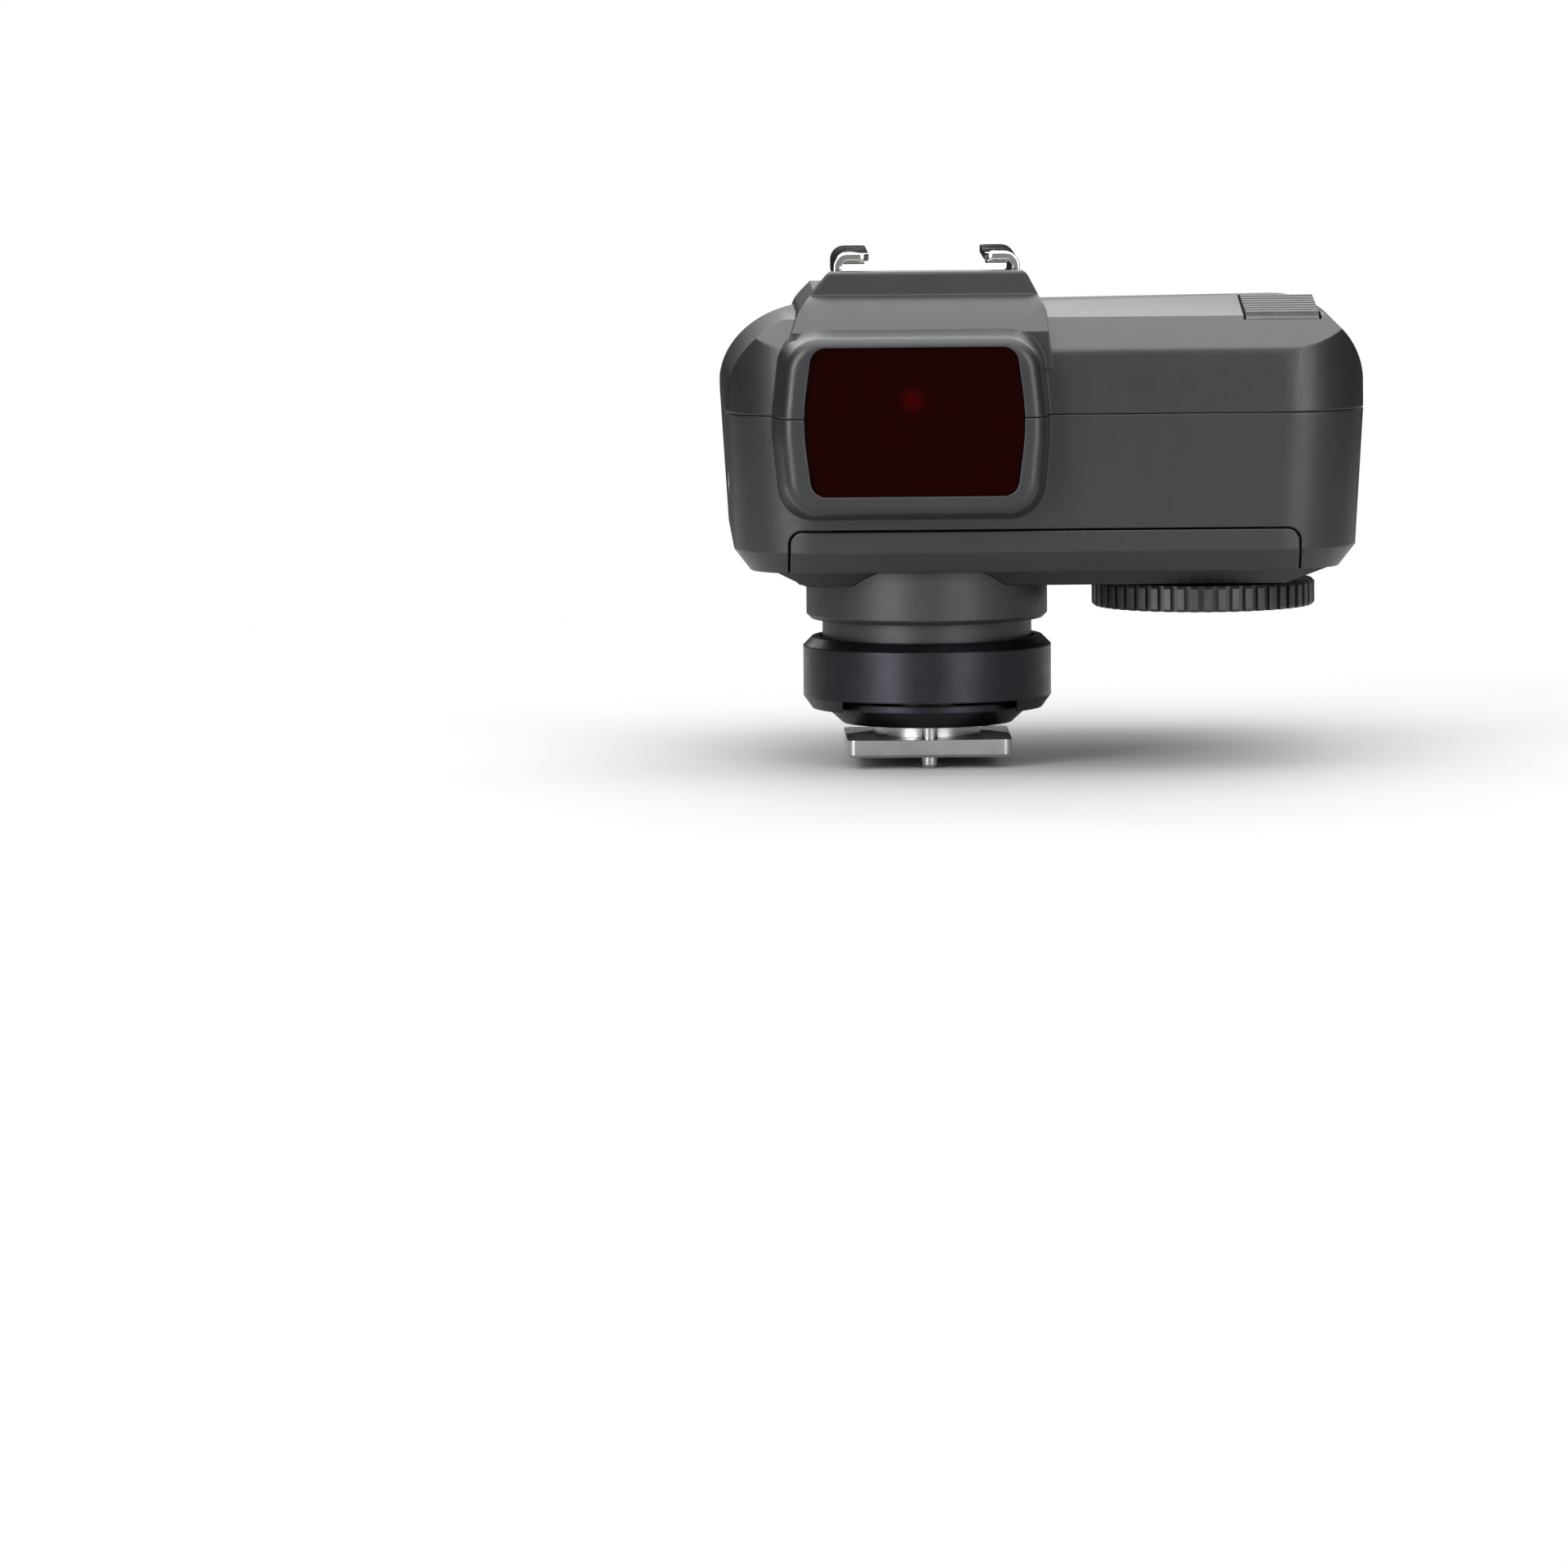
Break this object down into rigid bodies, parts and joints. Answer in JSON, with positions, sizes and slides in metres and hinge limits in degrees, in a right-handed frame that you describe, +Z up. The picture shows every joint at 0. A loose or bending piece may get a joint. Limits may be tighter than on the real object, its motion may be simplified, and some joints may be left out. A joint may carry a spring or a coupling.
{
  "type": "wireless flash trigger",
  "caption": "Wedge-shaped wireless flash transmitter with a camera shoe foot and lock ring below, an accessory shoe on top, a red lamp window in front and a sloping screen panel behind.",
  "frame": {"origin": "centre of the mounting foot's underside, on the lock ring's axis", "axes": "+Z up along the lock ring's axis; -Y towards the subject, the side of the red window; +X to the right when looking at the window"},
  "size_m": [0.0719, 0.0699, 0.0583],
  "materials": {
    "casing_abs": "fine-grained moulding",
    "collar_abs": "fine-grained moulding",
    "wheel_abs": "moulded, serrated edge",
    "key_rubber": "silicone keycap",
    "test_key_abs": "ribbed key",
    "ring_aluminium": "satin black anodised",
    "bright_steel": "polished plated sheet",
    "foot_steel": "machined and plated",
    "contact_brass": "gold-plated",
    "spring_nickel": "nickel-plated",
    "screw_steel": "black zinc",
    "red_window": "dark red transparent, polished",
    "reflector_metal": "metallised cup",
    "lamp_epoxy": "red epoxy",
    "board_green": "solder-masked circuit board",
    "black_component": "moulded",
    "port_steel": "stamped shell",
    "screen_cover": "polished clear acrylic over a dark border",
    "screen_glass": "liquid-crystal panel",
    "cell_jacket": "printed shrink sleeve"
  },
  "bodies": {
    "casing": {"af_lamp": "lamp_epoxy", "af_lens": "red_window", "af_reflector": "reflector_metal", "antenna": "board_green", "battery_cell_front": "cell_jacket", "battery_cell_rear": "cell_jacket", "battery_plain_contact": "spring_nickel", "battery_spring_contact": "spring_nickel", "beeper": "black_component", "bottom_casing": "casing_abs", "bottom_cover": "casing_abs", "casing_screws": "screw_steel", "cover_screws": "screw_steel", "encoder": "black_component", "foot_collar": "collar_abs", "foot_contact_block": "collar_abs", "foot_neck": "collar_abs", "foot_nut": "foot_steel", "key_board": "board_green", "lamp_board": "board_green", "lcd_module": "screen_glass", "lcd_window": "screen_cover", "main_board": "board_green", "radio_module": "spring_nickel", "rear_panel": "casing_abs", "ring_circlip": "foot_steel", "shoe_contacts": "contact_brass", "shoe_foot": "foot_steel", "shoe_insulator": "collar_abs", "shoe_screws": "screw_steel", "shoe_springs": "bright_steel", "sync_jack": "black_component", "test_switch": "black_component", "top_casing": "casing_abs", "top_shoe": "bright_steel", "usb_port": "port_steel"},
    "lock_ring": {"lock_ring": "ring_aluminium"},
    "clamp": {"clamp_plate": "ring_aluminium", "lock_pin": "foot_steel"},
    "dial": {"dial": "wheel_abs"},
    "test_button": {"test_button": "test_key_abs"},
    "power_switch": {"power_switch": "collar_abs"},
    "lamp_switch": {"lamp_switch": "collar_abs"},
    "battery_door": {"battery_door": "casing_abs"},
    "contact_pin_centre": {"contact_pin_centre": "contact_brass"},
    "contact_pin_1": {"contact_pin_1": "contact_brass"},
    "contact_pin_2": {"contact_pin_2": "contact_brass"},
    "contact_pin_3": {"contact_pin_3": "contact_brass"},
    "contact_pin_4": {"contact_pin_4": "contact_brass"},
    "group_key_1": {"group_key_1": "key_rubber"},
    "group_key_2": {"group_key_2": "key_rubber"},
    "group_key_3": {"group_key_3": "key_rubber"},
    "group_key_4": {"group_key_4": "key_rubber"},
    "group_key_5": {"group_key_5": "key_rubber"},
    "soft_key_1": {"soft_key_1": "key_rubber"},
    "soft_key_2": {"soft_key_2": "key_rubber"},
    "soft_key_3": {"soft_key_3": "key_rubber"},
    "soft_key_4": {"soft_key_4": "key_rubber"}
  },
  "joints": [
    {"name": "ring_turn", "type": "hinge", "parent": "casing", "child": "lock_ring", "pos_m": [0, 0, 0.009], "axis": [0, 0, 1], "range_deg": [0, 270]},
    {"name": "clamp_lift", "type": "slide", "parent": "casing", "child": "clamp", "axis": [0, 0, 1], "range_m": [0, 0.0018]},
    {"name": "dial_turn", "type": "hinge", "parent": "casing", "child": "dial", "pos_m": [0.0314, 0.001, 0.0178], "axis": [0, 0, 1], "continuous": true},
    {"name": "test_press", "type": "slide", "parent": "casing", "child": "test_button", "axis": [0, 0, -1], "range_m": [0, 0.0005], "stiffness_N_per_m": 400, "springref_m": -0.0012},
    {"name": "power_slide", "type": "slide", "parent": "casing", "child": "power_switch", "axis": [0, 1, 0], "range_m": [0, 0.0044]},
    {"name": "lamp_slide", "type": "slide", "parent": "casing", "child": "lamp_switch", "axis": [0, 1, 0], "range_m": [0, 0.0026]},
    {"name": "door_slide", "type": "slide", "parent": "casing", "child": "battery_door", "axis": [0, 1, 0], "range_m": [0, 0.006]},
    {"name": "contact_pin_centre_press", "type": "slide", "parent": "casing", "child": "contact_pin_centre", "axis": [0, 0, 1], "range_m": [0, 0.0006], "stiffness_N_per_m": 250, "springref_m": -0.001},
    {"name": "contact_pin_1_press", "type": "slide", "parent": "casing", "child": "contact_pin_1", "axis": [0, 0, 1], "range_m": [0, 0.0006], "stiffness_N_per_m": 250, "springref_m": -0.001},
    {"name": "contact_pin_2_press", "type": "slide", "parent": "casing", "child": "contact_pin_2", "axis": [0, 0, 1], "range_m": [0, 0.0006], "stiffness_N_per_m": 250, "springref_m": -0.001},
    {"name": "contact_pin_3_press", "type": "slide", "parent": "casing", "child": "contact_pin_3", "axis": [0, 0, 1], "range_m": [0, 0.0006], "stiffness_N_per_m": 250, "springref_m": -0.001},
    {"name": "contact_pin_4_press", "type": "slide", "parent": "casing", "child": "contact_pin_4", "axis": [0, 0, 1], "range_m": [0, 0.0006], "stiffness_N_per_m": 250, "springref_m": -0.001},
    {"name": "group_key_1_press", "type": "slide", "parent": "casing", "child": "group_key_1", "axis": [0, -0.3096, -0.9509], "range_m": [0, 0.0005], "stiffness_N_per_m": 300, "springref_m": -0.001},
    {"name": "group_key_2_press", "type": "slide", "parent": "casing", "child": "group_key_2", "axis": [0, -0.3096, -0.9509], "range_m": [0, 0.0005], "stiffness_N_per_m": 300, "springref_m": -0.001},
    {"name": "group_key_3_press", "type": "slide", "parent": "casing", "child": "group_key_3", "axis": [0, -0.3096, -0.9509], "range_m": [0, 0.0005], "stiffness_N_per_m": 300, "springref_m": -0.001},
    {"name": "group_key_4_press", "type": "slide", "parent": "casing", "child": "group_key_4", "axis": [0, -0.3096, -0.9509], "range_m": [0, 0.0005], "stiffness_N_per_m": 300, "springref_m": -0.001},
    {"name": "group_key_5_press", "type": "slide", "parent": "casing", "child": "group_key_5", "axis": [0, -0.3096, -0.9509], "range_m": [0, 0.0005], "stiffness_N_per_m": 300, "springref_m": -0.001},
    {"name": "soft_key_1_press", "type": "slide", "parent": "casing", "child": "soft_key_1", "axis": [0, -0.3096, -0.9509], "range_m": [0, 0.0005], "stiffness_N_per_m": 300, "springref_m": -0.001},
    {"name": "soft_key_2_press", "type": "slide", "parent": "casing", "child": "soft_key_2", "axis": [0, -0.3096, -0.9509], "range_m": [0, 0.0005], "stiffness_N_per_m": 300, "springref_m": -0.001},
    {"name": "soft_key_3_press", "type": "slide", "parent": "casing", "child": "soft_key_3", "axis": [0, -0.3096, -0.9509], "range_m": [0, 0.0005], "stiffness_N_per_m": 300, "springref_m": -0.001},
    {"name": "soft_key_4_press", "type": "slide", "parent": "casing", "child": "soft_key_4", "axis": [0, -0.3096, -0.9509], "range_m": [0, 0.0005], "stiffness_N_per_m": 300, "springref_m": -0.001}
  ],
  "couplings": [
    {"joint": "clamp_lift", "follows": "ring_turn", "m_per_rad": 0.00038197}
  ]
}
